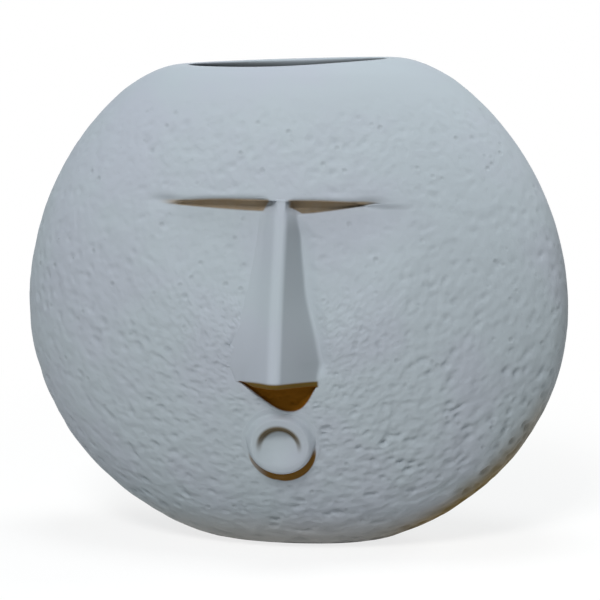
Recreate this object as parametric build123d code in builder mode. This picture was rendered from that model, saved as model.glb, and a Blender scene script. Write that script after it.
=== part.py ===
from build123d import *
import os
from math import sqrt

# Body: a flattened egg, wider than it is deep. All lengths are in millimetres.
body_width = 220.0
body_depth = 100.0
crown_rise = 114.0  # from the widest section up to the egg's untrimmed top
belly_drop = 100.0  # from the widest section down to its untrimmed bottom
wall = 6.5

# Foot, and the felt that it stands on
foot_width = 76.0
foot_thickness = 8.0
pad_margin = 5.0
pad_thickness = 2.0
pad_stand = 1.2  # how far the felt stands out of its recess
pad_clearance = 0.3

# Rim collar: its top is cut on a slant that rises towards +X
rim_width = 105.0
rim_slant = 2.0  # degrees
collar_height = 14.0
rim_outer_round = 6.0
rim_inner_round = 1.5

# Face: levels are measured up from the widest section
brow_level = 48.0
brow_half_length = 50.0
brow_step = 4.0  # how far the cheek planes are set back under the brow, beside the nose
cheek_run = 50.0  # how far below the brow the cheek planes run out
cheek_half_spread = 16.0  # where they run out, to each side of the middle

# Nose: a wedge with a narrow flat ridge, flush with the forehead at its top
ridge_width = 3.6
nose_top_width = 12.4
nose_middle_width = 24.0  # where the cheek planes run out
nose_bottom_width = 31.6
nose_bottom_level = -21.5
nose_projection = 13.0
nose_round = 1.6
nose_root = 3.0  # how far the wedge is carried on into the body before it is trimmed

# Hollow under the nose, its lowest point a little off the middle
hollow_level = -32.5
hollow_shift = 4.5
hollow_depth = 2.6
hollow_round = 6.0

# Mouth: a round ring with a shallow dish, seated in a socket
mouth_level = -45.0
mouth_width = 30.8
mouth_ring_height = 4.0
dish_width = 16.6
dish_rise = 0.8  # the dish's middle stands this far proud of the face
dish_edge_rise = 2.2
socket_depth = 2.0
socket_clearance = 0.15

# Coil of clay pressed along the inside of each side seam
coil_width = 9.0

os.makedirs("parts", exist_ok=True)

half_width = body_width / 2
half_depth = body_depth / 2
foot_drop = belly_drop * sqrt(1 - (foot_width / body_width) ** 2)
rim_rise = crown_rise * sqrt(1 - (rim_width / body_width) ** 2)
widest = pad_stand + foot_drop  # height of the widest section

middle_plane = Plane((0, 0, widest), x_dir=(1, 0, 0), z_dir=(0, -1, 0))
brow_plane = Plane.XY.offset(widest + brow_level)
foot_plane = Plane.XY.offset(pad_stand)
floor_plane = foot_plane.offset(foot_thickness)
rim_plane = Plane((0, 0, widest + rim_rise)).rotated((0, -rim_slant, 0))
collar_plane = rim_plane.offset(-collar_height)


def face_point(x, level):
    """Point on the egg's front, at a place across and a level from the widest section."""
    reach = crown_rise if level > 0 else belly_drop
    y = -half_depth * sqrt(1 - (x / half_width) ** 2 - (level / reach) ** 2)
    return Vector(x, y, widest + level)


def egg(inset):
    """The body's untrimmed egg, drawn in all round by an inset."""
    across = half_width - inset
    with BuildPart() as form:
        with BuildSketch(middle_plane):
            with BuildLine():
                EllipticalCenterArc((0, 0), across, belly_drop - inset, -90, arc_size=90)
                EllipticalCenterArc((0, 0), across, crown_rise - inset, 0, arc_size=90)
                Line((0, crown_rise - inset), (0, inset - belly_drop))
            make_face()
        revolve(axis=Axis.Z)
        scale(by=(1, (half_depth - inset) / across, 1))
    return form.part


outside = egg(0)
inside = egg(wall)

# Cutter for the cheek planes, which are level with each other's mirror image under the brow
cheek_level = brow_level - cheek_run
brow_inner = face_point(0, brow_level) + Vector(0, brow_step, 0)
brow_tail = face_point(brow_half_length, brow_level)
cheek_end = face_point(cheek_half_spread, cheek_level)
cheek_normal = (cheek_end - brow_inner).cross(brow_tail - brow_inner).normalized()
cheek_plane = Plane(brow_inner, x_dir=brow_tail - brow_inner, z_dir=cheek_normal)
with BuildPart() as cheek_cutter:
    with BuildSketch(cheek_plane):
        Rectangle(2 * body_width, 2 * body_width)
    extrude(amount=half_depth)
    split(bisect_by=brow_plane, keep=Keep.BOTTOM)
    split(bisect_by=Plane.YZ, keep=Keep.TOP)
    mirror(about=Plane.YZ)

# Cutter for the hollow under the nose
hollow_floor = face_point(0, nose_bottom_level).Y + hollow_depth
with BuildPart() as hollow_cutter:
    with BuildSketch(middle_plane.offset(-hollow_floor)):
        with BuildLine():
            Polyline(
                (-nose_bottom_width / 2, nose_bottom_level),
                (hollow_shift, hollow_level),
                (nose_bottom_width / 2, nose_bottom_level),
                close=True,
            )
        outline = make_face()
        fillet(outline.vertices().sort_by(Axis.Y)[0], hollow_round)
    extrude(amount=half_depth)

# Cutter for the mouth's socket, square to the egg's front
mouth_place = face_point(0, mouth_level)
mouth_normal = Vector(0, mouth_place.Y / half_depth**2, mouth_level / belly_drop**2).normalized()
mouth_plane = Plane(mouth_place, x_dir=(1, 0, 0), z_dir=mouth_normal)
with BuildPart() as socket_cutter:
    with BuildSketch(mouth_plane.offset(-socket_depth)):
        Circle(mouth_width / 2 + socket_clearance)
    extrude(amount=half_depth)

# Form of the body with the face cut into it, and the space inside from the floor up to the collar
with BuildPart() as face_form:
    add(outside)
    for cutter in (cheek_cutter, hollow_cutter, socket_cutter):
        add(cutter.part, mode=Mode.SUBTRACT)
with BuildPart() as cavity:
    add(inside)
    split(bisect_by=floor_plane, keep=Keep.TOP)
    split(bisect_by=collar_plane, keep=Keep.BOTTOM)

# Front and back halves of the body, which meet at the side seams
for name, form, side in (("front_shell", face_form.part, Keep.TOP), ("back_shell", outside, Keep.BOTTOM)):
    with BuildPart() as shell:
        add(form)
        split(bisect_by=floor_plane, keep=Keep.TOP)
        split(bisect_by=collar_plane, keep=Keep.BOTTOM)
        split(bisect_by=middle_plane, keep=side)
        add(cavity.part, mode=Mode.SUBTRACT)
    shell.part.label = name
    export_step(shell.part, f"parts/{name}.step")

# Rim collar, its outer and inner lips rounded
with BuildPart() as neck_rim:
    add(outside)
    add(inside, mode=Mode.SUBTRACT)
    split(bisect_by=collar_plane, keep=Keep.TOP)
    split(bisect_by=rim_plane, keep=Keep.BOTTOM)
    lip = neck_rim.faces().filter_by(rim_plane).sort_by(Axis.Z)[-1]
    fillet(lip.outer_wire().edges(), rim_outer_round)
    lip = neck_rim.faces().filter_by(rim_plane).sort_by(Axis.Z)[-1]
    fillet(lip.inner_wires()[0].edges(), rim_inner_round)
neck_rim.part.label = "neck_rim"
export_step(neck_rim.part, "parts/neck_rim.step")

# Foot slab: the bottom slice of the egg, with a recess for the felt
pad_half_width = foot_width / 2 - pad_margin
pad_half_depth = foot_width / 2 * body_depth / body_width - pad_margin
with BuildPart() as foot_slab:
    add(outside)
    split(bisect_by=floor_plane, keep=Keep.BOTTOM)
    split(bisect_by=foot_plane, keep=Keep.TOP)
    with BuildSketch(foot_plane):
        Ellipse(pad_half_width + pad_clearance, pad_half_depth + pad_clearance)
    extrude(amount=pad_thickness - pad_stand, mode=Mode.SUBTRACT)
foot_slab.part.label = "foot_slab"
export_step(foot_slab.part, "parts/foot_slab.step")

# Felt pad, glued into the recess
with BuildPart() as felt_pad:
    with BuildSketch():
        Ellipse(pad_half_width, pad_half_depth)
    extrude(amount=pad_thickness)
felt_pad.part.label = "felt_pad"
export_step(felt_pad.part, "parts/felt_pad.step")

# Nose: a wedge through three sections, carried on into the body and trimmed to the face that it sits on
ridge_top = face_point(0, brow_level)
ridge_bottom = face_point(0, nose_bottom_level) - Vector(0, nose_projection, 0)
nose_sections = (
    (brow_level, nose_top_width),
    (cheek_level, nose_middle_width),
    (nose_bottom_level, nose_bottom_width),
)


def is_ridge(face):
    """Whether a face of the wedge looks straight ahead, with no lean to either side."""
    normal = face.normal_at()
    return normal.Y < 0 and normal.Y**2 > normal.Z**2 > normal.X**2


with BuildPart() as nose:
    for level, width in nose_sections:
        along = (brow_level - level) / (brow_level - nose_bottom_level)
        edge = ridge_top + (ridge_bottom - ridge_top) * along + Vector(ridge_width / 2, 0, 0)
        wing = face_point(width / 2, level)
        behind = cheek_normal.dot(brow_inner - wing) / cheek_normal.Y
        wing += Vector(0, max(behind, 0), 0)
        root = wing + Vector(nose_root, nose_root, 0)
        with BuildSketch(Plane.XY.offset(widest + level)):
            with BuildLine():
                Polyline(
                    (-edge.X, edge.Y),
                    (edge.X, edge.Y),
                    (root.X, root.Y),
                    (-root.X, root.Y),
                    close=True,
                )
            make_face()
    loft()
    ridge_faces = nose.faces().filter_by(is_ridge)
    ridge_edges = ridge_faces.edges().filter_by(Axis.X, reverse=True)
    lip_edges = nose.faces().sort_by(Axis.Z)[0].edges().sort_by(Axis.Y)[:-1]
    fillet(ridge_edges + lip_edges, nose_round)
    add(face_form.part, mode=Mode.SUBTRACT)
nose.part.label = "nose"
export_step(nose.part, "parts/nose.step")

# Mouth: a disc that fills the socket, a half-round ring on it and a shallow dish inside the ring
ring_middle = (mouth_width + dish_width) / 4
ring_half_width = (mouth_width - dish_width) / 4
mouth_section = Plane(mouth_place, x_dir=(1, 0, 0), z_dir=Vector(1, 0, 0).cross(mouth_normal))
with BuildPart() as mouth_ring:
    with BuildSketch(mouth_section):
        with BuildLine():
            Polyline((ring_middle, dish_edge_rise), (ring_middle, 0), (mouth_width / 2, 0))
            Polyline((mouth_width / 2, 0), (mouth_width / 2, -socket_depth), (0, -socket_depth))
            Line((0, -socket_depth), (0, dish_rise))
            TangentArc((0, dish_rise), (ring_middle, dish_edge_rise), tangent=(1, 0))
        make_face()
        with BuildLine():
            EllipticalCenterArc((ring_middle, 0), ring_half_width, mouth_ring_height, 0, arc_size=180)
            Line((ring_middle - ring_half_width, 0), (ring_middle + ring_half_width, 0))
        make_face()
    revolve(axis=Axis(mouth_place, mouth_normal))
mouth_ring.part.label = "mouth_ring"
export_step(mouth_ring.part, "parts/mouth_ring.step")

# Coils pressed into the corners where the two halves meet inside
for name, turn in (("left_seam_coil", -90), ("right_seam_coil", 90)):
    with BuildPart() as seam_coil:
        with BuildLine(middle_plane) as seam:
            EllipticalCenterArc((0, 0), half_width - wall, belly_drop - wall, -90, arc_size=turn)
            EllipticalCenterArc((0, 0), half_width - wall, crown_rise - wall, turn - 90, arc_size=turn)
        with BuildSketch(Plane(seam.line @ 0, z_dir=seam.line % 0)):
            Circle(coil_width / 2)
        sweep()
        add(cavity.part, mode=Mode.INTERSECT)
    seam_coil.part.label = name
    export_step(seam_coil.part, f"parts/{name}.step")
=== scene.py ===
import math
from bisect import bisect_left
from collections import namedtuple

import bmesh
import bpy
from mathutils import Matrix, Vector, noise


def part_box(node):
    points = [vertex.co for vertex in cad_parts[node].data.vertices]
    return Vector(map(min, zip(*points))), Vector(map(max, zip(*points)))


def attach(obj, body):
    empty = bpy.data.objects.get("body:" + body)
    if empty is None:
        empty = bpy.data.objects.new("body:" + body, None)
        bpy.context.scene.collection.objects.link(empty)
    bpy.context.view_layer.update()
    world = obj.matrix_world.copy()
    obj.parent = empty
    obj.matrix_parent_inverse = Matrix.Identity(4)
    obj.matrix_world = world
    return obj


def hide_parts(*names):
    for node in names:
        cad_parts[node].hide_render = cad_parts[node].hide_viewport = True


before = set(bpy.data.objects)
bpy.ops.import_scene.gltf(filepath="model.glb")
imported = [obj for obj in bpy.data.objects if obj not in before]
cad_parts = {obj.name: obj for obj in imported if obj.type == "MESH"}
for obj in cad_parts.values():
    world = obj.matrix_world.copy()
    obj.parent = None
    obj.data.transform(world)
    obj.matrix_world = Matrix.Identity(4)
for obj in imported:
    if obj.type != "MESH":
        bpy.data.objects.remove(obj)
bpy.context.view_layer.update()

bl_info = {
    "name": "Face Vase",
    "version": (1, 0, 0),
    "blender": (4, 5, 0),
    "location": "3D View > Sidebar > Face Vase",
    "description": "Models the skin of a flat round face vase over its packed solids, and lights it",
    "category": "Object",
}

MM = 0.001

# Body sizes in millimetres, the same as in the solids; levels are measured from the widest section
HALF_WIDTH = 110.0
HALF_DEPTH = 50.0
CROWN = 114.0
BELLY = 100.0
WALL = 6.5
SLAB = 8.0
FOOT_HALF = 38.0
RIM_HALF = 52.5
RIM_DEEP = 23.9
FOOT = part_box("foot_slab")[0].z / MM
FLOOR = FOOT + SLAB
WIDEST = FOOT + BELLY * math.sqrt(1 - (FOOT_HALF / HALF_WIDTH) ** 2)
RIM = WIDEST + CROWN * math.sqrt(1 - (RIM_HALF / HALF_WIDTH) ** 2)
SLANT = math.radians(2.0)
RIM_UP = Vector((-math.sin(SLANT), 0, math.cos(SLANT)))
RIM_ALONG = Vector((math.cos(SLANT), 0, math.sin(SLANT)))
RIM_MIDDLE = Vector((0, 0, RIM - WIDEST))
COLLAR = 14.0

# Face
BROW = 48.0
BROW_HALF = 50.0
BROW_STEP = 4.0
CHEEK_RUN = 50.0
CHEEK_SPREAD = 16.0
RIDGE_HALF = 1.7
NOSE_TOP = 49.4
NOSE_FOOT = -21.5
LIP_LOW = -22.3
LIP_TAPER = 2.2
LEFT_SAG = 1.6
RIGHT_SAG = 0.6
NOSE_HALF = 15.8
NOSE_PROUD = 13.0
GUTTER = 1.9
GROOVE = 1.4
HOLLOW_DEPTH = 2.6
MOUTH = -45.0
MOUTH_HALF = 15.4
RING_CREST = 10.9
RING_PROUD = 4.0

# Slits under the brow: level, sink and span of the upper edge, then level, rise, start and run of the foot
Slit = namedtuple("Slit", "edge sink sink_start sink_end foot rise start run")
LEFT_SLIT = Slit(48.6, 1.2, 18.0, 48.0, 44.3, 2.1, 8.0, 37.6)
RIGHT_SLIT = Slit(48.5, 0.5, 14.0, 30.0, 43.5, 3.0, 9.0, 21.6)
SLIT_CURVE = 1.3

# Reach of a pit in the skin, as a share of the distance between pits
PIT_REACH = 0.58

# What the vertices of the clay note about the skin; on the nose the dent note holds the painted shade of its
# flanks
NOTES = ("dent", "stippled", "stroked")


def clamp(value, low=0.0, high=1.0):
    """The value, held between two limits."""
    return max(low, min(high, value))


def fade(start, end, value):
    """Rises smoothly from 0 at the start to 1 at the end, which may lie either way."""
    part = clamp((value - start) / (end - start))
    return part * part * (3 - 2 * part)


def blend_low(one, other, reach):
    """The lower of two heights, rounded off where they come nearer than the reach."""
    near = max(reach - abs(one - other), 0.0) / reach
    return min(one, other) - near * near * reach / 4


def blend_high(one, other, reach):
    """The higher of two heights, rounded off likewise."""
    return -blend_low(-one, -other, reach)


def egg_depth(x, level, inset=0.0):
    """Depth of the egg's skin in front of the middle, at a place across and a level."""
    reach = (CROWN if level > 0 else BELLY) - inset
    left = 1 - (x / (HALF_WIDTH - inset)) ** 2 - (level / reach) ** 2
    return (HALF_DEPTH - inset) * math.sqrt(max(left, 0.0))


def egg_normal(place):
    """Direction square to the egg's skin at a point."""
    reach = CROWN if place.z > 0 else BELLY
    return Vector((place.x / HALF_WIDTH ** 2, place.y / HALF_DEPTH ** 2, place.z / reach ** 2)).normalized()


CHEEK_IN = BROW_STEP - egg_depth(0, BROW)
CHEEK_SIDE = (-egg_depth(BROW_HALF, BROW) - CHEEK_IN) / BROW_HALF
CHEEK_FALL = (CHEEK_IN + CHEEK_SPREAD * CHEEK_SIDE + egg_depth(CHEEK_SPREAD, BROW - CHEEK_RUN)) / CHEEK_RUN
HOLLOW_FLOOR = HOLLOW_DEPTH - egg_depth(0, NOSE_FOOT)
MOUTH_PLACE = Vector((0, -egg_depth(0, MOUTH), MOUTH))
MOUTH_OUT = egg_normal(MOUTH_PLACE)
MOUTH_UP = MOUTH_OUT.cross(Vector((1, 0, 0)))


def cheek_y(x, level):
    """Depth of the face below the brow: the cheek planes, which run out softly into the egg."""
    plane = CHEEK_IN + CHEEK_SIDE * abs(x) + CHEEK_FALL * (level - BROW)
    return blend_high(-egg_depth(x, level), plane, 1.6)


def brow_edge(x):
    """Level of the forehead's lower edge, which sinks a little towards its two ends."""
    slit = LEFT_SLIT if x < 0 else RIGHT_SLIT
    return slit.edge - slit.sink * fade(slit.sink_start, slit.sink_end, abs(x))


def brow_foot(x):
    """Level of the slit's foot under the brow, which rises towards its two ends."""
    slit = LEFT_SLIT if x < 0 else RIGHT_SLIT
    return slit.foot + slit.rise * max((abs(x) - slit.start) / slit.run, 0.0) ** SLIT_CURVE


def nose_half(x, level):
    """Half the nose's width at a level: narrow at the brow, wide at its wings, fuller on the right."""
    drop = BROW - level
    half = 6.2 + 0.0593 * drop + 0.001135 * drop * drop
    if x > 0:
        half += 0.8 * fade(43.0, 33.0, level) + 1.4 * fade(14.0, -5.0, level)
        half -= 2.2 * fade(-12.0, -20.5, level)
    return half


def cheek_skin(x, level):
    """Depth of the cheeks with the slit's groove, which ends in a soft fold on both sides."""
    egg = -egg_depth(x, level)
    fold = 0.01 + 2.8 * (fade(35.0, 48.0, -x) if x < 0 else fade(25.0, 37.0, x))
    skin = egg + (cheek_y(x, level) - egg) * fade(0.0, fold, brow_edge(x) - level)
    foot = brow_foot(x)
    skin += GROOVE * fade(foot - 0.3, foot + 0.4, level) * fade(47.0, 28.0, abs(x))
    # On the right the cheek is drawn in along the nose
    if x > 0:
        drawn = fade(43.0, 34.0, level) * fade(-21.0, -13.0, level)
        skin += GUTTER * drawn * fade(6.5, 0.0, x - nose_half(x, level))
    return skin


def brow_end(x, level):
    """Depth of the soft troughs in which the slit runs out at its two ends."""
    beyond = (x + 45.5) / 5.5 if x < 0 else (x - 34.5) / 5.0
    return 1.7 * math.exp(-beyond ** 2 - ((level - 47.6) / 2.0) ** 2)


def forehead_y(x, level):
    """Depth of the forehead, rounded off over the slit."""
    egg = -egg_depth(x, level)
    edge = brow_edge(x)
    step = cheek_skin(x, edge - 0.5) + egg_depth(x, edge)
    lip = min(2.4 if x < 0 else 1.9, 0.55 * max(step, 0.0)) * fade(2.5, 6.0, abs(x))
    drop = edge + lip - level
    if drop > 0:
        egg += lip - math.sqrt(max(lip * lip - drop * drop, 0.0))
    return egg


def hollow_sides(x, level):
    """Distances inside the left side, the steep right side and the foot of the hollow."""
    left = 0.606 * x + 0.795 * level + 26.27
    right = 0.473 * level - 0.881 * x + 23.88
    return left, right, level + 33.56


def hollow_inside(x, level):
    """Distance inside the hollow's outline, rounded where its sides meet."""
    left, right, foot = hollow_sides(x, level)
    return blend_low(blend_low(left, foot, 3.7), right, 5.4)


def face_y(x, level):
    """Depth of the face without its dents: forehead, brow, cheeks and hollow."""
    if level >= brow_edge(x) - 1e-6:
        return forehead_y(x, level) + brow_end(x, level)
    skin = cheek_skin(x, level) + brow_end(x, level)
    skin += 1.8 * fade(12.0, 9.0, math.hypot(x - 0.4, level - MOUTH + 1.2))
    pocket = fade(-0.3, 0.7, hollow_inside(x, level)) * fade(NOSE_FOOT + 2.0, NOSE_FOOT + 0.5, level)
    return skin + pocket * max(HOLLOW_FLOOR - skin, 0.0)


def stretched(place, lean, length, cell):
    """Noise coordinates in which dents come out longer along a lean across the face."""
    along = place.x * math.cos(lean) + place.z * math.sin(lean)
    across = place.z * math.cos(lean) - place.x * math.sin(lean)
    return Vector((along / (cell * length), across / cell, place.y / cell))


def round_face(place, cell, length):
    """Noise coordinates of longer strokes, which lean round the face half as far as its outline."""
    turn = 0.43 * math.atan2(place.x, -place.z)
    reach = 27.2 * max(math.hypot(place.x, place.z), 1.0) ** 0.43
    return Vector((reach * math.cos(turn) / cell, reach * math.sin(turn) / (cell * length), place.y / cell))


def marks(spot):
    """How deep, from 0 to 1, the skin is pressed in at a spot: pits of uneven size and depth."""
    push = [noise.noise(spot * 0.7 + Vector((apart, 0, 0))) for apart in (0.0, 17.3, 41.9)]
    bent = spot + Vector(push) * 0.2
    away, middles = noise.voronoi(bent)
    depth = 0.0
    for reach, middle in zip(away, middles):
        if reach < PIT_REACH:
            uneven = 0.3 + 0.7 * fade(-0.3, 0.35, noise.noise(middle * 1.7))
            depth += fade(PIT_REACH, 0.0, reach) * uneven
    return min(depth, 1.0)


def pitted_share(place):
    """0 where the skin has leaning strokes, 1 on the forehead and the back, where it has small pits."""
    return max(fade(-4.0, 16.0, place.y), fade(1.9, 2.5, abs(math.atan2(place.x, -place.z))))


def smooth_zone(place):
    """1 on the stippled skin, falling to 0 where the clay was wiped smooth."""
    stippled = 1.0
    if place.y < -20:
        rise = place.z - MOUTH
        ring = math.hypot(place.x, rise + 1.0 if rise < 0 else rise * 0.9)
        stippled = fade(13.2, 15.5, ring)
        wing = nose_half(place.x, clamp(place.z, NOSE_FOOT, BROW))
        beside = fade(wing + 0.8, wing + 5.0, abs(place.x))
        beyond = max(fade(BROW + 1.0, BROW + 9.0, place.z), fade(NOSE_FOOT - 2.0, NOSE_FOOT - 7.0, place.z))
        stippled *= max(beside, beyond)
        brow = math.hypot(max(abs(place.x) - 42.0, 0.0) * 0.5, place.z - BROW + 1.0)
        stippled *= fade(2.5, 6.0, brow)
    rim_drop = (RIM - WIDEST - place.z) + math.tan(SLANT) * place.x
    return stippled * fade(8.0, 26.0, rim_drop) * (0.45 + 0.55 * fade(0.0, 8.0, abs(place.y)))


def stipple(place):
    """How strongly the skin is stippled: faintly above, more below, most at the lower right."""
    lower = fade(40.0, -30.0, place.z)
    low_right = fade(-5.0, -50.0, place.z) * fade(0.0, 60.0, place.x)
    return smooth_zone(place) * (0.64 + 0.60 * lower + 0.80 * low_right)


def relief(place, skin):
    """Height of the skin's marks and unevenness in millimetres, and how dented it is from 0 to 1."""
    pitted = pitted_share(place)
    size = skin.dent_size / MM
    dented = ripple = 0.0
    if pitted < 1:
        dented += (1 - pitted) * marks(round_face(place, size, 1.4))
        ripple += (1 - pitted) * noise.noise(round_face(place, 5.6, 1.5))
    if pitted > 0:
        dented += pitted * marks(stretched(place, 0.35, 1.25, size * 1.1))
        ripple += pitted * noise.noise(stretched(place, 0.35, 1.4, 5.8))
    patches = clamp(0.75 + 0.55 * noise.noise(place / 17.0 + Vector((3, 9, 4))), 0.2, 1.2)
    strength = stipple(place)
    dented *= patches * strength
    wide = noise.noise(place / 34.0) * 0.6 + noise.noise(place / 13.0 + Vector((5, 1, 2))) * 0.3
    wide += noise.noise(place / 7.0 + Vector((2, 8, 1))) * 0.35
    wide *= smooth_zone(place)
    height = ripple * strength * skin.ripple + wide * skin.unevenness - dented * skin.dent_depth
    return height / MM, dented


def nose_ridge_y(level):
    """Depth of the nose's ridge, straight from the forehead to the tip."""
    tip = -egg_depth(0, NOSE_FOOT) - NOSE_PROUD
    along = (BROW - level) / (BROW - NOSE_FOOT)
    return -egg_depth(0, BROW) * (1 - along) + tip * along


def nose_middle(level):
    """Place across of the nose's middle line, a little to the right at the brow."""
    return 0.8 * fade(0.0, BROW, level)


def nose_fillet(x, level):
    """Reach of the fillet beside the nose: soft on the left, crisp on the right."""
    low = fade(BROW - 10.0, NOSE_FOOT, level)
    return 0.7 + 0.9 * low if x > 0 else (1.6 + 2.8 * low) * (0.2 + 0.8 * fade(NOSE_FOOT, -12.0, level))


def nose_y(x, level):
    """Depth of the nose's front: flat ridge, flat flanks and their fillets."""
    ridge = nose_ridge_y(level)
    held = min(level, 43.0)
    side = math.copysign(nose_half(x, held), x)
    middle = nose_middle(level)
    run = abs(side - middle) - RIDGE_HALF
    slope = (cheek_skin(side, held) - nose_ridge_y(held)) / run
    # Between the slits the flanks stand steeper
    slope *= 1 + (2.0 if x > 0 else 1.4) * fade(43.2, 48.8, level)
    flank = ridge + (abs(x - middle) - RIDGE_HALF) * slope
    under = forehead_y(x, level) if level > brow_edge(x) else cheek_skin(x, level)
    reach = nose_fillet(x, level)
    sunk = 0.5 * fade(0.7 * reach, reach + 0.4, flank - under)
    return blend_low(blend_high(ridge, flank, 1.0), under, reach) + sunk


def lip_low(x):
    """Level of the lip's lower edge at the nose's foot, which ends in a point at the left."""
    return LIP_LOW + LIP_TAPER * fade(8.0, 15.0, -x)


def lip_sag(x):
    """How far the nose's foot hangs lower at its two ends than in the middle."""
    return (LEFT_SAG if x < 0 else RIGHT_SAG) * (x / NOSE_HALF) ** 2


def row_levels(count):
    """Levels of the shells' rows, closer together at the brow and at the nose's foot."""
    low, high = FLOOR - WIDEST, RIM - WIDEST - COLLAR + 6.0
    steps = 6000
    share = [0.0]
    for step in range(steps):
        level = low + (high - low) * (step + 0.5) / steps
        need = 1 + 2.6 * math.exp(-((level - 46.5) / 2.8) ** 2) + 0.5 * math.exp(-((level + 27) / 9) ** 2)
        need -= 0.25 * fade(52.0, 70.0, level)
        share.append(share[-1] + need)
    levels = []
    for row in range(count + 1):
        step = min(bisect_left(share, share[-1] * row / count), steps)
        levels.append(low + (high - low) * step / steps)
    brow_row = min(range(count), key=lambda row: abs(levels[row] - BROW))
    levels[brow_row] = BROW
    levels[brow_row - 1] = BROW - 0.03
    return levels


def bend_grid(verts, levels, side, inset):
    """Bends a flat grid over one half of the egg, its columns closer together in the middle."""
    rows = len(levels) - 1
    for vert in verts:
        u, v = vert.co.x, vert.co.y
        turn = 1.0155 * u + 0.5553 * u ** 3
        level = levels[round((v + 1) / 2 * rows)]
        reach = (CROWN if level > 0 else BELLY) - inset
        across = (HALF_WIDTH - inset) * math.sqrt(1 - (level / reach) ** 2)
        deep = (HALF_DEPTH - inset) / (HALF_WIDTH - inset) * across * max(math.cos(turn), 0.0)
        vert.co = Vector((across * math.sin(turn), side * deep, level))


def trim_at_collar(bm):
    """Cuts off what stands above the collar's slanted plane."""
    geom = bm.verts[:] + bm.edges[:] + bm.faces[:]
    middle = RIM_MIDDLE - RIM_UP * COLLAR
    bmesh.ops.bisect_plane(bm, geom=geom, dist=0.01, plane_co=middle, plane_no=RIM_UP, clear_outer=True)


def clay_mesh():
    """An empty mesh whose vertices note how the skin is marked, and the place of its strokes."""
    bm = bmesh.new()
    for name in NOTES:
        bm.verts.layers.float.new(name)
    bm.verts.layers.float_vector.new("stroke")
    return bm


def rounded(start, corner, end, part):
    """Point of the arc that rounds off a corner, at a share of the way along it."""
    return start * (1 - part) ** 2 + corner * 2 * part * (1 - part) + end * part ** 2


def face_outward(bm):
    """Turns the faces of a closed mesh to point out of it."""
    bmesh.ops.recalc_face_normals(bm, faces=bm.faces[:])
    if bm.calc_volume(signed=True) < 0:
        bmesh.ops.reverse_faces(bm, faces=bm.faces[:])


def spun_rows(rows, turns, place, closed=False):
    """Spins a profile of so many rows about the upright, then sets each vertex by row and turn."""
    bm = clay_mesh()
    dots = [bm.verts.new((row + 1.0, 0, 0)) for row in range(rows)]
    lines = [bm.edges.new(pair) for pair in zip(dots, dots[1:])]
    if closed:
        lines.append(bm.edges.new((dots[-1], dots[0])))
    bmesh.ops.spin(
        bm, geom=dots + lines, cent=(0, 0, 0), axis=(0, 0, 1), angle=math.tau, steps=turns, use_merge=True
    )
    for vert in bm.verts:
        row = round(math.hypot(vert.co.x, vert.co.y)) - 1
        vert.co = place(row, math.atan2(vert.co.y, vert.co.x))
    bmesh.ops.remove_doubles(bm, verts=bm.verts[:], dist=1e-4)
    face_outward(bm)
    return bm


def stand(bm, name, nodes, finishes, sharp):
    """Makes a mesh into a piece that rides on the body and stands for solids of the frame."""
    mesh = bpy.data.meshes.new(name)
    for face in bm.faces:
        face.smooth = True
    bm.to_mesh(mesh)
    bm.free()
    mesh.set_sharp_from_angle(angle=math.radians(sharp))
    for finish in finishes:
        mesh.materials.append(finish)
    piece = bpy.data.objects.new(name, mesh)
    bpy.context.scene.collection.objects.link(piece)
    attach(piece, "root")
    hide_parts(*nodes)
    return piece


def sums(operation):
    """An operator on values that adds a Math node, and its reflected form."""

    def plain(self, other):
        return self.math(operation, self, other)

    def reflected(self, other):
        return self.math(operation, other, self)

    return plain, reflected


class Value:
    """A number in a finish, which adds Math nodes when it is used in a sum."""

    def __init__(self, finish, socket):
        self.finish = finish
        self.socket = socket

    def math(self, operation, *terms):
        inputs = dict(enumerate(terms))
        return self.finish.node("ShaderNodeMath", {"operation": operation}, inputs)

    __add__, __radd__ = sums("ADD")
    __sub__, __rsub__ = sums("SUBTRACT")
    __mul__, __rmul__ = sums("MULTIPLY")
    __truediv__, __rtruediv__ = sums("DIVIDE")
    __pow__, __rpow__ = sums("POWER")

    def __abs__(self):
        return self.math("ABSOLUTE", self)

    def low(self, other):
        return self.math("MINIMUM", self, other)

    def high(self, other):
        return self.math("MAXIMUM", self, other)

    def soft_low(self, other, reach):
        """The lower of two values, rounded off where they come nearer than the reach."""
        return self.math("SMOOTH_MIN", self, other, reach)

    def fade(self, start, end):
        """Rises smoothly from 0 at the start to 1 at the end."""
        ends = {"Value": self, "From Min": start, "From Max": end}
        return self.finish.node("ShaderNodeMapRange", {"interpolation_type": "SMOOTHSTEP"}, ends)


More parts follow.
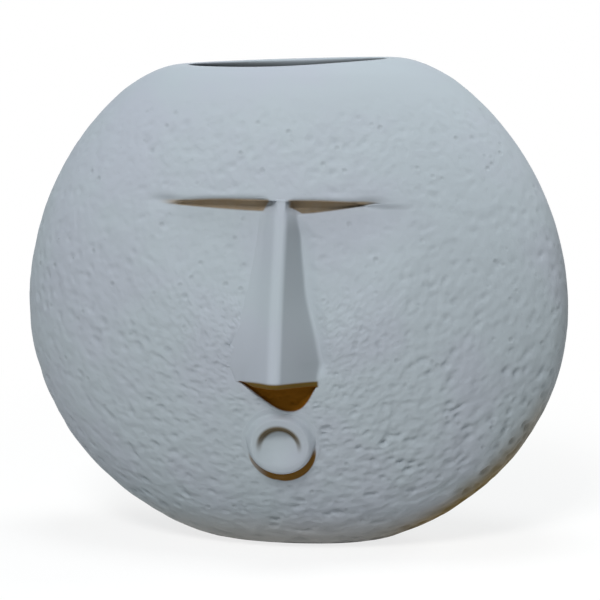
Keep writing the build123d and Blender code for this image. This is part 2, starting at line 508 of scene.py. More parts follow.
class Finish:
    """A material, or the world, under construction."""

    def __init__(self, tree):
        self.tree = tree
        tree.nodes.clear()

    def node(self, kind, settings, sockets, output=0):
        """Adds a node: its settings first, then the values or links of its sockets, by name or number."""
        made = self.tree.nodes.new(kind)
        for key, value in settings.items():
            setattr(made, key, value)
        for key, value in sockets.items():
            if isinstance(key, int):
                socket = made.inputs[key]
            else:
                socket = next(s for s in made.inputs if key in (s.identifier, s.name))
            if isinstance(value, Value):
                self.tree.links.new(value.socket, socket)
            elif socket.type == "RGBA":
                socket.default_value = (*value[:3], 1.0)
            else:
                socket.default_value = value
        return Value(self, made.outputs[output]) if made.outputs else None

    def mix(self, share, one, other):
        """A colour between two others."""
        sockets = {"Factor_Float": share, "A_Color": one, "B_Color": other}
        return self.node("ShaderNodeMix", {"data_type": "RGBA"}, sockets, 2)

    def grain(self, where, scale, detail=2.0, roughness=0.5):
        """Soft noise from 0 to 1 at so many waves to the metre."""
        sockets = {"Vector": where, "Scale": scale, "Detail": detail, "Roughness": roughness}
        return self.node("ShaderNodeTexNoise", {}, sockets)

    def noted(self, name, output=2):
        """What a mesh notes at its vertices under a name."""
        return self.node("ShaderNodeAttribute", {"attribute_name": name}, {}, output)

    def bump(self, strength, depth, height):
        """Normals that stand for a relief, whose depth is in metres."""
        sockets = {"Strength": strength, "Distance": depth, "Height": height}
        return self.node("ShaderNodeBump", {}, sockets)

    def coat(self, sockets):
        """Ends a material in one shader with these sockets."""
        surface = self.node("ShaderNodeBsdfPrincipled", {}, sockets)
        self.node("ShaderNodeOutputMaterial", {}, {"Surface": surface})


def start_finish(name):
    """A new material, its finish, and the coordinates in which its pattern lies."""
    material = bpy.data.materials.new(name)
    material.use_nodes = True
    finish = Finish(material.node_tree)
    return material, finish, finish.node("ShaderNodeTexCoord", {}, {}, 3)


def slit_shadow(x, level, right):
    """In the slits under the brow: where the brown painted shadow lies, where it is painted darker, and the
    painted shade over it.
    """
    side = abs(x)

    def by_side(left, other):
        return left + (other - left) * right

    def foot_of(slit):
        return slit.foot + slit.rise * (((side - slit.start) / slit.run).high(0.0) ** SLIT_CURVE)

    def edge_of(slit):
        return slit.edge - slit.sink * side.fade(slit.sink_start, slit.sink_end)

    foot = by_side(foot_of(LEFT_SLIT), foot_of(RIGHT_SLIT))
    top = by_side(edge_of(LEFT_SLIT), edge_of(RIGHT_SLIT))
    brow = level.fade(foot - 0.3, foot + 0.3) * (1 - level.fade(top - 0.1, top + 1.1))
    # It ends at the nose's flanks, and runs out sooner on the right
    end = by_side(4.0 + (49.0 - level) * 0.55, 3.6 + (46.0 - level).high(0.0) * 1.75)
    brow = brow * side.fade(end - 0.5, end + 0.7) * (1 - side.fade(38.0 - 7.0 * right, 49.0 - 10.0 * right))
    # Painted darker towards the slit's foot, more so on the right, and near the nose, where the recess is lit
    deeper_shade = ((top - level) / (top - foot).high(0.5)).fade(0.40, 0.85) * (0.45 + 0.3 * right)
    deeper_shade = deeper_shade.high(0.3 * (1 - side.fade(6.0, 11.0)))
    # Painted shade on the forehead's rounded edge over the slit, weaker on the right
    brow_lip_shade = (1 - level.fade(top + 0.5, top + 3.2)) * level.fade(top - 1.0, top + 0.5) * (1 - 0.5 * right)
    brow_lip_shade = brow_lip_shade * side.fade(4.0, 9.0) * (1 - side.fade(36.0, 50.0))
    return brow, deeper_shade, brow_lip_shade


def nose_shadow(x, level, right):
    """Under the nose: where brown painted shadow lies in the hollow, and painted shade on the rounded lip
    above it.
    """
    left, steep, foot = hollow_sides(x, level)
    inside = left.soft_low(foot, 5.5).soft_low(steep, 8.1)
    sag = LEFT_SAG + (RIGHT_SAG - LEFT_SAG) * right
    hung = level + sag * (x / NOSE_HALF) * (x / NOSE_HALF)
    edge = LIP_LOW + LIP_TAPER * (x * -1).fade(8.0, 15.0)
    hollow = inside.fade(-0.25, 0.35) * (1 - hung.fade(edge + 0.1, edge + 0.6))
    lip = (1 - hung.fade(NOSE_FOOT + 1.0, NOSE_FOOT + 2.1)) * hung.fade(edge - 0.4, edge)
    return hollow, lip * (1 - abs(x).fade(NOSE_HALF - 0.8, NOSE_HALF + 0.3))


def mouth_shadow(x, level, right):
    """At the mouth: a crescent of painted shadow under the ring, and one of painted shade inside its upper
    edge.
    """
    rise = level - MOUTH

    def outside(across, drop, start, end):
        """Rises to 1 over the edge of a circle, which lies so far across and below the mouth."""
        off_x, off_rise = x - across, rise + drop
        return (off_x * off_x + off_rise * off_rise).fade(start ** 2, end ** 2)

    under = (1 - outside(0.6, 4.1, 13.2, 13.8)) * outside(0.4, 1.4, 12.6, 13.2)
    under = under * (0.5 + 0.5 * x.fade(-10.0, -4.0))
    under = under * (1 - rise.fade(-9.0 + 2.0 * right, -5.0 + 3.0 * right))
    ring_inner_shade = (1 - outside(0.0, 2.5, 8.0, 9.5)) * outside(0.0, 3.7, 6.4, 7.7) * rise.fade(-6.0, 2.5)
    return under, ring_inner_shade


def stoneware(look):
    """Matt blue-white stoneware with a pitted, stippled skin, brown painted shadow in its recesses, painted
    shade in its dents and painted warm bounce light low down.
    """
    material, finish, where = start_finish("stippled_stoneware")
    x, y, z = (finish.node("ShaderNodeSeparateXYZ", {}, {0: where}, axis) / MM for axis in range(3))
    level = z - WIDEST
    dented, stippled, stroked = (finish.noted(name) for name in NOTES)
    along = finish.noted("stroke", 1)
    # Fine relief: small strokes that lean round the face, small pits, a few pinholes and a dry grain
    stroke = finish.grain(along, 0.34, 0.4).fade(0.30, 0.78) * stroked
    pit = finish.grain(where, 360.0, 0.4).fade(0.30, 0.78) * (1 - stroked)
    cloud = finish.grain(where, 24.0, 3.0)
    pinholes = finish.node("ShaderNodeTexVoronoi", {}, {"Vector": where, "Scale": 120.0})
    pin = (1 - pinholes.fade(0.02, 0.07)) * cloud.fade(0.54, 0.62) * (stippled * 2.0).low(1.0)
    pocks = finish.node("ShaderNodeTexVoronoi", {}, {"Vector": where, "Scale": 165.0})
    some = finish.grain(where, 70.0).fade(0.44, 0.56)
    pock = (1 - pocks.fade(0.04, 0.24)) * some * (stippled * 1.5).low(1.0)
    dry = finish.grain(where, 1500.0, 3.0, 0.65)
    scuffed = finish.grain(where, 300.0, 4.0, 0.6)
    height = dry * 0.05 + scuffed * 0.12 * (stippled + 0.2) - (stroke * 0.62 + pit * 0.60) * stippled
    height = height - pin * 0.3 - pock * 0.8
    bump = finish.bump(0.8, 0.4 * MM, height)
    # Colour: a cool white that drifts to lilac, with painted shade in its dents and painted warm bounce light
    # at the foot
    clay = finish.mix(cloud.fade(0.42, 0.66), look.clay, look.clay_lilac)
    # Painted warm bounce light near the foot
    clay = finish.mix((1 - level.fade(-96.0, -75.0)) * 0.75, clay, look.clay_warm_bounce)
    # Painted shade in the dents and fine strokes and pits, and on the nose's flanks through its dent note
    clay = finish.mix(dented * 0.16 + (stroke + pit) * stippled * 0.08, clay, look.shade_grey)
    # Painted shade in the pinholes and pocks
    clay = finish.mix((pin * 0.35).high(pock * 0.3), clay, look.shade_grey)
    # Along the seam of the two halves: painted shade at the right, and painted warm bounce light at the lower
    # right
    beside = abs(y + 2.7 - 0.03 * x - 0.04 * level.low(0.0))
    seam_shade = (1 - beside.fade(2.0, 18.0)) * x.fade(30.0, 90.0) * (1 - level.fade(-5.0, 60.0))
    clay = finish.mix(seam_shade * 0.92, clay, look.shade_grey)
    drift = (cloud - 0.5) * 30.0
    # Painted warm bounce light, golden brown, low on the right along the seam
    warm_bounce = (1 - (level + drift).fade(-70.0, -26.0)) * x.fade(22.0, 60.0)
    warm_bounce = warm_bounce * (1 - (beside + drift * 0.3).fade(6.5, 21.0))
    clay = finish.mix(warm_bounce * 0.95, clay, look.warm_bounce)
    # Brown painted shadow in the recesses of the face, which also cast their own shadow
    front = (y * -1).fade(20.0, 24.0)
    right = x.fade(-0.5, 0.5)
    brow, deeper_shade, brow_lip_shade = slit_shadow(x, level, right)
    hollow, lip = (front * mask for mask in nose_shadow(x, level, right))
    under, ring_inner_shade = (front * mask for mask in mouth_shadow(x, level, right))
    brow_shadow = front * brow * (0.94 + 0.30 * (scuffed - 0.5))
    # Painted shade on the forehead's rounded edge over the slits
    clay = finish.mix(front * brow_lip_shade * 0.5, clay, look.shade_grey)
    # Dark painted shade inside the ring's upper edge
    clay = finish.mix(ring_inner_shade, clay, look.deep_shadow_brown)
    # Brown painted shadow in the slits, darker towards their foot
    clay = finish.mix(brow_shadow, clay, finish.mix(deeper_shade, look.brow_shadow_brown, look.deep_shadow_brown))
    # Painted shade on the nose's rounded lip, and painted shadow under the ring
    clay = finish.mix(lip.high(under), clay, look.lip_shadow_brown)
    # Darkest painted shadow in the hollow under the nose, and partly under the ring
    clay = finish.mix(hollow.high(under * 0.5), clay, look.hollow_shadow_brown)
    roughness = look.roughness + 0.10 * (cloud - 0.5) + 0.12 * dented + 0.25 * hollow.high(brow_shadow)
    finish.coat({"Base Color": clay, "Roughness": roughness, "Normal": bump, "Specular IOR Level": 0.14})
    return material


def inside_glaze(look):
    """Thin white liner glaze on the walls inside, glossier than the skin and faintly clouded."""
    material, finish, where = start_finish("liner_glaze")
    cloud = finish.grain(where, 40.0, 3.0)
    speck = finish.grain(where, 900.0, 2.0)
    colour = finish.mix(cloud.fade(0.35, 0.7), look.inside, look.clay)
    bump = finish.bump(0.4, 0.3 * MM, cloud + speck * 0.1)
    finish.coat({"Base Color": colour, "Roughness": 0.32 + 0.15 * speck, "Normal": bump})
    return material


def pressed_felt(look):
    """Dark grey wool felt: matted fibres that lie every way, with a soft fuzz."""
    material, finish, where = start_finish("pressed_felt")
    ways = []
    for turn in (0.9, -0.6):
        sockets = {"Vector": where, "Rotation": (0, 0, turn), "Scale": (0.35, 1, 1)}
        laid = finish.node("ShaderNodeMapping", {}, sockets)
        ways.append(finish.grain(laid, 1400.0, 3.0, 0.7))
    fibres = ways[0].high(ways[1])
    pale = (0.30, 0.30, 0.31)
    colour = finish.mix(fibres.fade(0.5, 0.8) * 0.6, look.felt, pale)
    bump = finish.bump(0.8, 0.3 * MM, fibres)
    finish.coat({"Base Color": colour, "Roughness": 0.95, "Normal": bump, "Sheen Weight": 0.3})
    return material


def finish_of(name, make):
    """A material by name, made the first time that a piece asks for it."""
    return bpy.data.materials.get(name) or make(bpy.context.scene.vase_look)


def stand_clay(bm, name, node, finishes=1, sharp=40.0):
    """Makes a mesh in millimetres by level into a clay piece with the skin's finish, or the liner's too."""
    edges = [edge for edge in bm.edges if edge.is_boundary]
    if edges:
        bmesh.ops.bridge_loops(bm, edges=edges)
    face_outward(bm)
    for vert in bm.verts:
        vert.co = Vector((vert.co.x, vert.co.y, vert.co.z + WIDEST)) * MM
    both = [finish_of("stippled_stoneware", stoneware), finish_of("liner_glaze", inside_glaze)]
    stand(bm, name, [node], both[:finishes], sharp)


def press_skin(bm, verts, skin):
    """Moves vertices by the skin's relief, square to the egg, and notes how it is marked there."""
    layers = bm.verts.layers
    dent, stippled, stroked = (layers.float[name] for name in NOTES)
    stroke = layers.float_vector["stroke"]
    for vert in verts:
        height, dented = relief(vert.co, skin)
        vert[dent] = dented
        vert[stippled] = stipple(vert.co)
        vert[stroked] = 1 - pitted_share(vert.co)
        vert[stroke] = round_face(vert.co, 1.0, 1.5)
        vert.co += egg_normal(vert.co) * height


def make_shell(name, columns, rows, side, skin):
    """One half of the body: a dense outer skin, a plain inner wall, and the edges between."""
    levels = row_levels(rows)
    bm = clay_mesh()
    outer = bmesh.ops.create_grid(bm, x_segments=columns, y_segments=rows, size=1.0)["verts"]
    bend_grid(outer, levels, side, 0.0)
    if side < 0:
        for vert in outer:
            if vert.co.y < -8:
                # The rows beside the brow follow its edge
                vert.co.z += (brow_edge(vert.co.x) - BROW) * fade(9.0, 1.0, abs(vert.co.z - BROW))
                vert.co.y = face_y(vert.co.x, vert.co.z)
    press_skin(bm, outer, skin)
    inner = bmesh.ops.create_grid(bm, x_segments=columns // 4, y_segments=rows // 4, size=1.0)["verts"]
    bend_grid(inner, levels[::4], side, WALL)
    walls = {face for vert in inner for face in vert.link_faces}
    for face in walls:
        face.material_index = 1
    trim_at_collar(bm)
    stand_clay(bm, name, name.replace("_skin", "_shell"), 2)


def a_number(name, description, default, **kind):
    """A number that a user may change, with its unit or limits."""
    return bpy.props.FloatProperty(name=name, description=description, default=default, **kind)


def a_length(name, description, size, least=0.0):
    """A small length that a user may change, given in millimetres."""
    return a_number(name, description, size * MM, min=least * MM, unit="LENGTH")


def a_colour(name, description, default):
    """A colour that a user may change."""
    return bpy.props.FloatVectorProperty(name=name, description=description, default=default, subtype="COLOR")


class VaseSkin(bpy.types.PropertyGroup):
    dent_depth: a_length("Dent depth", "Depth of the deepest dents pressed into the skin", 0.84)
    dent_size: a_length("Dent size", "Usual distance from one dent to the next", 3.5, 1.5)
    ripple: a_length("Ripple", "Height of the leaning ripples between the dents", 0.24)
    unevenness: a_length("Unevenness", "Height of the wide swells that a hand leaves in the wall", 0.35)
    rim_dip: a_length("Rim dip", "How far the front lip of the mouth sags below its plane", 1.3)


class VaseLook(bpy.types.PropertyGroup):
    clay: a_colour("Clay", "Cool white of the stoneware", (0.385, 0.435, 0.480))
    clay_lilac: a_colour("Clay, lilac", "Tint that the stoneware drifts to in patches", (0.385, 0.420, 0.480))
    # The next seven colours paint light and shade: warm bounce light near the foot and at the lower right,
    # grey shade, and brown shadow in the face's recesses
    clay_warm_bounce: a_colour("Painted warm bounce at the foot", "Warm bounce light painted on the stoneware near the foot", (0.44, 0.42, 0.39))
    shade_grey: a_colour("Painted shade", "Grey painted as shade in the dents, pinholes, along the right seam, on the nose and over the slits", (0.23, 0.255, 0.28))
    brow_shadow_brown: a_colour("Thin painted shadow", "Brown painted shadow under the brow", (0.36, 0.275, 0.185))
    deep_shadow_brown: a_colour("Darker painted shadow", "Painted shadow at the slits' foot and painted shade inside the ring", (0.111, 0.087, 0.052))
    warm_bounce: a_colour("Painted warm bounce", "Golden brown along the seam at the lower right", (0.160, 0.106, 0.018))
    lip_shadow_brown: a_colour("Painted shade on the lip", "Painted shade on the lip at the foot of the nose", (0.115, 0.068, 0.008))
    hollow_shadow_brown: a_colour("Thick painted shadow", "Painted shadow under the nose and below the mouth", (0.165, 0.062, 0.001))
    inside: a_colour("Liner glaze", "Glaze on the inside walls", (0.33, 0.36, 0.39))
    felt: a_colour("Felt", "Felt under the foot", (0.14, 0.14, 0.15))
    roughness: a_number("Roughness", "Of the stoneware's matt skin", 0.60, min=0.0, max=1.0, subtype="FACTOR")


class VaseStudio(bpy.types.PropertyGroup):
    azimuth: a_number(
        "Azimuth", "How far to the right of the face the camera stands", math.radians(8.0), subtype="ANGLE"
    )
    elevation: a_number(
        "Elevation", "How far above the widest section the camera stands", math.radians(9.0), subtype="ANGLE"
    )
    distance: a_number("Distance", "From the camera to the middle of the body", 0.9, unit="LENGTH")
    lens: a_number("Lens", "Focal length in millimetres on a 36 mm sensor", 132.9, unit="CAMERA")
    key: a_number("Key light", "Power of the soft light in front, to the left, in watts", 25.5, min=0.0)
    side: a_number("Side light", "Power of the light at the right, a little behind, in watts", 8.5, min=0.0)
    overhead: a_number("Overhead light", "Power of the wide light above, in watts", 11.5, min=0.0)
    ambient: a_number("Ambient", "Strength of the even light from all round", 0.14, min=0.0)
    floor: a_colour("Floor", "Colour of the pale floor", (0.64, 0.63, 0.61))


class VASE_OT_shells(bpy.types.Operator):
    """Model the two halves of the body, the front one with its brow, cheeks and hollow"""

    bl_idname = "vase.shells"
    bl_label = "Shells"

    def execute(self, context):
        for name, columns, side in (("front_skin", 304, -1), ("back_skin", 224, 1)):
            make_shell(name, columns, 296, side, context.scene.vase_skin)
        return {"FINISHED"}


def rim_place(turn, depth, inset):
    """Point of the egg's skin, or its inner wall, at a turn and a depth under the rim's plane."""
    start = RIM_MIDDLE - RIM_UP * depth
    aim = (RIM_ALONG * RIM_HALF * math.cos(turn) + Vector((0, RIM_DEEP, 0)) * math.sin(turn)).normalized()
    size = Vector((HALF_WIDTH - inset, HALF_DEPTH - inset, CROWN - inset))
    one, two = (Vector(part / whole for part, whole in zip(way, size)) for way in (aim, start))
    square, cross = one.dot(one), one.dot(two)
    reach = (-cross + math.sqrt(cross * cross - square * (two.dot(two) - 1))) / square
    return start + aim * reach


class VASE_OT_rim(bpy.types.Operator):
    """Model the smooth collar with its rounded lips and the sag of its front lip"""

    bl_idname = "vase.rim"
    bl_label = "Neck Rim"

    outer_rows = 22
    lip_rows = 14
    inner_rows = 10
    wall_rows = 6
    inner_drop = 4.0

    def lip_corner(self, turn):
        """How far the outer rounding reaches down and over the lip, larger at the two ends."""
        end = abs(math.cos(turn)) ** 3
        return 4.5 + 4.5 * end, 2.6 + 7.0 * end

    def place(self, row, turn):
        down, over = self.lip_corner(turn)
        corner = rim_place(turn, 0.0, 0.0)
        inner_edge = rim_place(turn, 0.0, WALL)
        width = (corner - inner_edge).length
        over = min(over, width - 2.2)
        inward = (inner_edge - corner).normalized()
        if row < self.outer_rows:
            part = row / self.outer_rows
            return rim_place(turn, COLLAR + (down - COLLAR) * part, 0.0)
        row -= self.outer_rows
        if row < self.lip_rows:
            part = row / self.lip_rows
            return rounded(rim_place(turn, down, 0.0), corner, corner + inward * over, part)
        row -= self.lip_rows
        if row < self.inner_rows:
            part = row / (self.inner_rows - 1)
            start = corner + inward * max(over + 0.2, width - 3.4)
            return rounded(start, inner_edge, rim_place(turn, self.inner_drop, WALL), part)
        row -= self.inner_rows
        depth = self.inner_drop + (COLLAR - self.inner_drop) * (row + 1) / self.wall_rows
        return rim_place(turn, depth, WALL)

    def execute(self, context):
        skin = context.scene.vase_skin
        rows = self.outer_rows + self.lip_rows + self.inner_rows + self.wall_rows
        bm = spun_rows(rows, 288, self.place, closed=True)
        outside = []
        for vert in bm.verts:
            if abs(vert.co.x) > 60 or abs(vert.co.y) > egg_depth(vert.co.x, vert.co.z, WALL):
                outside.append(vert)
        press_skin(bm, outside, skin)
        for vert in bm.verts:
            depth = (RIM_MIDDLE - vert.co).dot(RIM_UP)
            sag = math.exp(-((vert.co.x + 8.0) / 34.0) ** 2) * fade(COLLAR, 0.0, depth)
            vert.co.z -= skin.rim_dip / MM * sag * fade(4.0, -12.0, vert.co.y)
        for face in bm.faces:
            centre = face.calc_center_median()
            if abs(centre.y) < egg_depth(centre.x, centre.z, WALL - 0.4):
                face.material_index = 1
        stand_clay(bm, "rim_skin", "neck_rim", 2)
        return {"FINISHED"}


class VASE_OT_foot(bpy.types.Operator):
    """Model the foot slab under the body, with the recess for its felt"""

    bl_idname = "vase.foot"
    bl_label = "Foot Slab"

    top_rows = 4
    side_rows = 14
    edge_rows = 6
    edge = 2.2
    recess = 0.8
    recess_half = (33.3, 12.57)

    def place(self, row, turn):
        low, high = FOOT - WIDEST, FLOOR - WIDEST
        across, deep = math.cos(turn), math.sin(turn)

        def ring(level, inset):
            wide = HALF_WIDTH * math.sqrt(1 - (level / BELLY) ** 2)
            return Vector(((wide - inset) * across, (wide * HALF_DEPTH / HALF_WIDTH - inset) * deep, level))

        if row < self.top_rows:
            return Vector((*(ring(high, 0.0) * row / self.top_rows).xy, high))
        row -= self.top_rows
        if row < self.side_rows:
            return ring(high + (low + self.edge - high) * row / (self.side_rows - 1), 0.0)
        row -= self.side_rows
        if row < self.edge_rows:
            part = (row + 1) / self.edge_rows
            return rounded(ring(low + self.edge, 0.0), ring(low, 0.0), ring(low, 3.0), part)
        row -= self.edge_rows
        if row < 2:
            wide, short = self.recess_half
            return Vector((wide * across, short * deep, low + self.recess * row))
        return Vector((0, 0, low + self.recess))

    def execute(self, context):
        rows = self.top_rows + self.side_rows + self.edge_rows + 3
        bm = spun_rows(rows, 192, self.place)
        sides = [vert for vert in bm.verts if FOOT + 0.3 < vert.co.z + WIDEST]
        outer = [vert for vert in sides if (vert.co.x / 34.5) ** 2 + (vert.co.y / 15.0) ** 2 > 1]
        press_skin(bm, outer, context.scene.vase_skin)
        stand_clay(bm, "foot_skin", "foot_slab")
        return {"FINISHED"}


class VASE_OT_nose(bpy.types.Operator):
    """Model the nose: a straight ridge, flat flanks flaring to the cheeks, and a rounded lip at its foot"""

    bl_idname = "vase.nose"
    bl_label = "Nose"

    front_rows = 150
    lip_rows = 14
    under_rows = 14
    columns = 96
    # Columns are closer together near the ridge
    fine_half = 2.6
    fine_share = 0.24

    def across(self, share, half):
        """Place across of a column, at a share of the way from the middle to the edge."""
        if share < self.fine_share:
            return share / self.fine_share * self.fine_half
        beyond = (share - self.fine_share) / (1 - self.fine_share)
        return self.fine_half + beyond * (half - self.fine_half)

    def execute(self, context):
        bm = clay_mesh()
        rows = self.front_rows + self.lip_rows + self.under_rows
        bmesh.ops.create_grid(bm, x_segments=self.columns, y_segments=rows, size=1.0)
        grey = bm.verts.layers.float["dent"]
        lip_level = NOSE_FOOT + 2.0
        top_level = NOSE_TOP + 1.2
        under_share = {}
        for vert in bm.verts:
            u, row = vert.co.x, round((1 - vert.co.y) / 2 * rows)
            along = min(row / self.front_rows, 1.0)
            level = top_level + (lip_level - top_level) * along
            half = nose_half(u, min(level, BROW)) + 1.4 + nose_fillet(u, level) / 0.85
            x = math.copysign(self.across(abs(u), half), u)
            if level > NOSE_TOP:
                y = -egg_depth(x, level) + 0.12 + 0.5 * (level - NOSE_TOP)
            else:
                y = nose_y(x, level) + 0.12 * fade(0.0, 0.6, level - brow_edge(x))
            if row <= self.front_rows:
                # Painted shade on the nose's flanks, kept in the dent note: strong on the right flank, light
                # on the left, none up by the brow
                off = x - nose_middle(level)
                foot = nose_half(1.0, min(level, BROW))
                shade = fade(RIDGE_HALF + 0.2, RIDGE_HALF + 1.6, off) * fade(foot + 0.5, foot - 1.0, x)
                left = fade(-RIDGE_HALF, -RIDGE_HALF - 2.0, off)
                vert[grey] = (3.6 * shade + 0.9 * left) * fade(47.0, 36.0, level)
            else:
                curl = min(2.0, 0.4 * max(HOLLOW_FLOOR - y, 0.1))
                turn = min((row - self.front_rows) / self.lip_rows, 1.0) * math.pi / 2
                y += curl * (1 - math.cos(turn))
                level = lip_level - (lip_level - lip_low(x)) * math.sin(turn)
            under = max(row - self.front_rows - self.lip_rows, 0) / self.under_rows
            y += (HOLLOW_FLOOR + 1.2 - y) * under
            level += 0.6 * math.sin(under * math.pi)
            under_share[vert] = under
            level -= lip_sag(x) * fade(0.0, lip_level, level)
            vert.co = Vector((x, y, level))
        # Its back lies just under the face that it sits on
        twins = bmesh.ops.duplicate(bm, geom=bm.verts[:] + bm.edges[:] + bm.faces[:])["vert_map"]
        for vert, under in under_share.items():
            x, y, level = vert.co
            y = max(y + 0.3, face_y(x, level) + 0.4) + 0.8 * under
            twins[vert].co = Vector((x, y, level + 0.3 * fade(0.0, 0.1, under)))
        stand_clay(bm, "nose_skin", "nose", 1, 60.0)
        return {"FINISHED"}


class VASE_OT_mouth(bpy.types.Operator):
    """Model the mouth: a soft round ring with a shallow dish inside it"""

    bl_idname = "vase.mouth"
    bl_label = "Mouth Ring"

    rows = 60
    back_rows = 20
    middle = Vector((0.4, -1.2))
    foot = 13.2

    def inside(self, x, rise, soft):
        """Height of the dish: a bowl that rises to the crest below, with a steep wall above."""
        crest = RING_PROUD - 0.9 * soft
        dish = 0.036 * (x * x + (rise - 1.5) ** 2) - 0.5
        wall = fade(6.9, 9.2, math.hypot(x, rise + 2.5))
        return blend_low(dish + (crest + 0.3 - min(dish, crest)) * wall * soft, crest, 1.2)

    def height(self, radius, turn):
        """Height of the ring and its dish above the face: soft where it runs in above, crisp below."""
        upward = math.sin(turn)
        soft = fade(-0.45, 0.45, upward)
        near = min(radius, RING_CREST)
        high = self.inside(near * math.cos(turn) + self.middle.x, near * upward + self.middle.y, soft)
        reach = self.foot + 0.9 * soft - 1.6 * max(upward, 0.0) ** 3 - RING_CREST
        off = clamp((radius - RING_CREST) / reach)
        return high * (math.sqrt(1 - off * off) * (1 - soft) + (0.5 + 0.5 * math.cos(math.pi * off)) * soft)

    def place(self, row, turn):
        behind = max(row - self.rows, 0) / self.back_rows
        part = min(row / self.rows, 1 - behind)
        radius = (MOUTH_HALF + 1.0) * (1 - (1 - part) ** 1.2)
        x, rise = radius * math.cos(turn) + self.middle.x, radius * math.sin(turn) + self.middle.y
        sunk = x * x / 484.0 + rise * rise / 400.0 + 0.5 * fade(MOUTH_HALF - 0.4, MOUTH_HALF + 1.0, radius)
        # Its skirt dips under the hollow of the nose
        sunk += 4.5 * fade(-0.8, 0.4, hollow_inside(x, rise + MOUTH))
        out = self.height(radius, turn) - sunk
        if behind > 0:
            out = min(out - 0.8, -2.0)
        return Vector((x, rise, out))

    def execute(self, context):
        bm = spun_rows(self.rows + self.back_rows + 1, 160, self.place)
        for vert in bm.verts:
            x, rise, out = vert.co
            vert.co = MOUTH_PLACE + Vector((x, 0, 0)) + MOUTH_UP * rise + MOUTH_OUT * out
        stand_clay(bm, "mouth_skin", "mouth_ring", 1, 60.0)
        return {"FINISHED"}


class VASE_OT_felt(bpy.types.Operator):
    """Model the felt pad that is glued under the foot"""

    bl_idname = "vase.felt"
    bl_label = "Felt Pad"

    # Its outline as shares of the reach and of the thickness, from the middle below to the middle above
    low_edge = ((0.0, 0.0), (0.4, 0.0), (0.8, 0.0), (0.965, 0.0), (0.985, 0.05), (0.996, 0.2), (1.0, 0.45))
    high_edge = ((1.0, 0.7), (0.995, 0.88), (0.98, 0.97), (0.96, 1.0), (0.8, 1.0), (0.4, 1.0), (0.0, 1.0))
    stops = low_edge + high_edge
    wobble = 0.004

    def place(self, row, turn):
        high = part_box("felt_pad")[1]
        half_wide, half_deep, thick = high.x / MM, high.y / MM, high.z / MM
        reach, rise = self.stops[row]
        uneven = noise.noise(Vector((math.cos(turn) * 3, math.sin(turn) * 3, 1.0)))
        reach *= 1 + self.wobble * (uneven - 1)
        return Vector((half_wide * reach * math.cos(turn), half_deep * reach * math.sin(turn), thick * rise))

    def execute(self, context):
        bm = spun_rows(len(self.stops), 144, self.place)
        for vert in bm.verts:
            vert.co *= MM
        finishes = [finish_of("pressed_felt", pressed_felt)]
        felt = stand(bm, "felt_skin", ["felt_pad"], finishes, 70.0)
        return {"FINISHED"}


class VASE_OT_coils(bpy.types.Operator):
    """Finish the coils of clay along the seams inside"""

    bl_idname = "vase.coils"
    bl_label = "Seam Coils"

    def execute(self, context):
        for name in ("left_seam_coil", "right_seam_coil"):
            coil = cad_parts[name]
            coil.data.materials.clear()
            coil.data.materials.append(finish_of("liner_glaze", inside_glaze))
        return {"FINISHED"}


def direction(azimuth, elevation):
    """The way from the body to a lamp or the camera, by its angles to the face."""
    flat = math.cos(elevation)
    return Vector((math.sin(azimuth) * flat, -math.cos(azimuth) * flat, math.sin(elevation)))


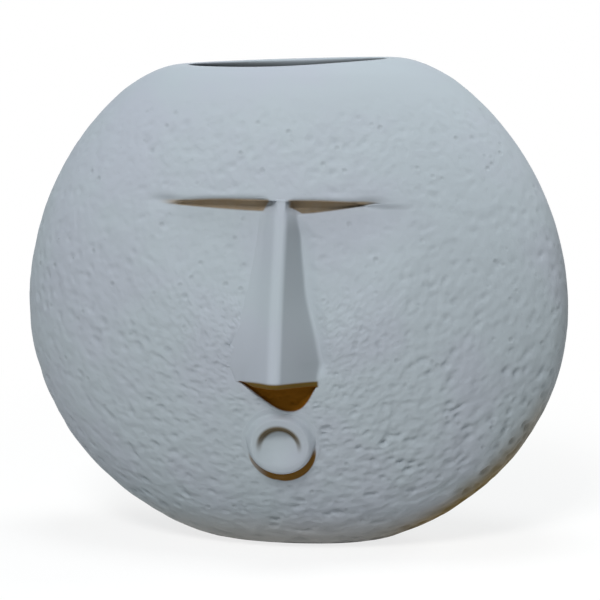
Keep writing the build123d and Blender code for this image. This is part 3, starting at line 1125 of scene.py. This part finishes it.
class VASE_OT_stage(bpy.types.Operator):
    """Set up the pale floor, the soft lights and the camera"""

    bl_idname = "vase.stage"
    bl_label = "Stage"

    def lamp(self, name, azimuth, elevation, distance, size, power, colour):
        """A soft square lamp that faces the body, placed by its angles to the face."""
        light = bpy.data.lights.new(name, "AREA")
        light.size = size
        light.energy = power
        light.color = colour
        away = direction(math.radians(azimuth), math.radians(elevation))
        holder = bpy.data.objects.new(name, light)
        holder.location = Vector((0, 0, WIDEST * MM)) + away * distance
        holder.rotation_euler = (-away).to_track_quat("-Z", "Y").to_euler()
        bpy.context.scene.collection.objects.link(holder)

    def seen(self, finish):
        """1 for rays from the camera, or through a reflection or a pane."""
        camera, glossy, through = (finish.node("ShaderNodeLightPath", {}, {}, ray) for ray in (0, 3, 6))
        return camera.high(glossy).high(through)

    def execute(self, context):
        scene = context.scene
        studio = scene.vase_studio
        scene.view_settings.view_transform = "Standard"
        middle = Vector((0, 0, WIDEST)) * MM
        # Floor
        bm = bmesh.new()
        bmesh.ops.create_grid(bm, x_segments=8, y_segments=8, size=4.0)
        mesh = bpy.data.meshes.new("floor")
        bm.to_mesh(mesh)
        bm.free()
        floor = bpy.data.objects.new("floor", mesh)
        scene.collection.objects.link(floor)
        material, finish, where = start_finish("floor")
        pale = finish.mix(self.seen(finish), studio.floor, (0.97, 0.97, 0.97))
        matt = finish.node("ShaderNodeBsdfDiffuse", {}, {"Color": pale})
        white = finish.node("ShaderNodeEmission", {}, {"Color": (1, 1, 1), "Strength": 1.0})
        # White to the camera, and less so near the vase, where its shadow falls
        away = finish.node("ShaderNodeVectorMath", {"operation": "LENGTH"}, {0: where}, 1)
        share = self.seen(finish) * (0.78 + 0.22 * away.fade(0.08, 0.4))
        both = finish.node("ShaderNodeMixShader", {}, {0: share, 1: matt, 2: white})
        finish.node("ShaderNodeOutputMaterial", {}, {"Surface": both})
        mesh.materials.append(material)
        # World: white where the camera sees it, a dim even light elsewhere
        world = bpy.data.worlds.new("studio")
        world.use_nodes = True
        scene.world = world
        finish = Finish(world.node_tree)
        even = {"Color": (0.72, 0.95, 1.0), "Strength": studio.ambient}
        dim = finish.node("ShaderNodeBackground", {}, even)
        white = finish.node("ShaderNodeBackground", {}, {"Color": (1, 1, 1), "Strength": 1.0})
        both = finish.node("ShaderNodeMixShader", {}, {0: self.seen(finish), 1: dim, 2: white})
        finish.node("ShaderNodeOutputWorld", {}, {"Surface": both})
        # Lights
        self.lamp("key", -9, 42, 1.9, 0.5, studio.key, (1.0, 0.985, 0.97))
        self.lamp("side", 112, 36, 1.7, 0.6, studio.side, (1.0, 0.98, 0.93))
        self.lamp("overhead", 0, 88, 1.7, 0.6, studio.overhead, (0.96, 0.985, 1.0))
        # Camera
        camera = bpy.data.cameras.new("camera")
        camera.lens = studio.lens
        camera.sensor_width = 36.0
        camera.clip_start = 0.01
        holder = bpy.data.objects.new("camera", camera)
        back = direction(studio.azimuth, studio.elevation)
        right = Vector((math.cos(studio.azimuth), math.sin(studio.azimuth), 0))
        aim = middle + right * 1.857 * MM + back.cross(right) * 3.35 * MM
        holder.location = middle + back * studio.distance
        holder.rotation_euler = (aim - holder.location).to_track_quat("-Z", "Y").to_euler()
        scene.collection.objects.link(holder)
        scene.camera = holder
        return {"FINISHED"}


STEPS = (
    VASE_OT_shells,
    VASE_OT_rim,
    VASE_OT_foot,
    VASE_OT_nose,
    VASE_OT_mouth,
    VASE_OT_felt,
    VASE_OT_coils,
    VASE_OT_stage,
)


class VASE_PT_panel(bpy.types.Panel):
    """Sizes, colours and steps of the face vase"""

    bl_idname = "VASE_PT_panel"
    bl_label = "Face Vase"
    bl_space_type = "VIEW_3D"
    bl_region_type = "UI"
    bl_category = "Face Vase"

    def draw(self, context):
        layout = self.layout
        for group in (context.scene.vase_skin, context.scene.vase_look, context.scene.vase_studio):
            box = layout.box()
            for name in group.bl_rna.properties.keys():
                if name not in ("rna_type", "name"):
                    box.prop(group, name)
        for step in STEPS:
            layout.operator(step.bl_idname)


GROUPS = (("vase_skin", VaseSkin), ("vase_look", VaseLook), ("vase_studio", VaseStudio))


def register():
    for name, group in GROUPS:
        bpy.utils.register_class(group)
        setattr(bpy.types.Scene, name, bpy.props.PointerProperty(type=group))
    for step in STEPS:
        bpy.utils.register_class(step)
    bpy.utils.register_class(VASE_PT_panel)


def unregister():
    bpy.utils.unregister_class(VASE_PT_panel)
    for step in reversed(STEPS):
        bpy.utils.unregister_class(step)
    for name, group in reversed(GROUPS):
        delattr(bpy.types.Scene, name)
        bpy.utils.unregister_class(group)


def main():
    register()
    bpy.ops.vase.shells()
    bpy.ops.vase.rim()
    bpy.ops.vase.foot()
    bpy.ops.vase.nose()
    bpy.ops.vase.mouth()
    bpy.ops.vase.felt()
    bpy.ops.vase.coils()
    bpy.ops.vase.stage()


if __name__ == "__main__":
    main()
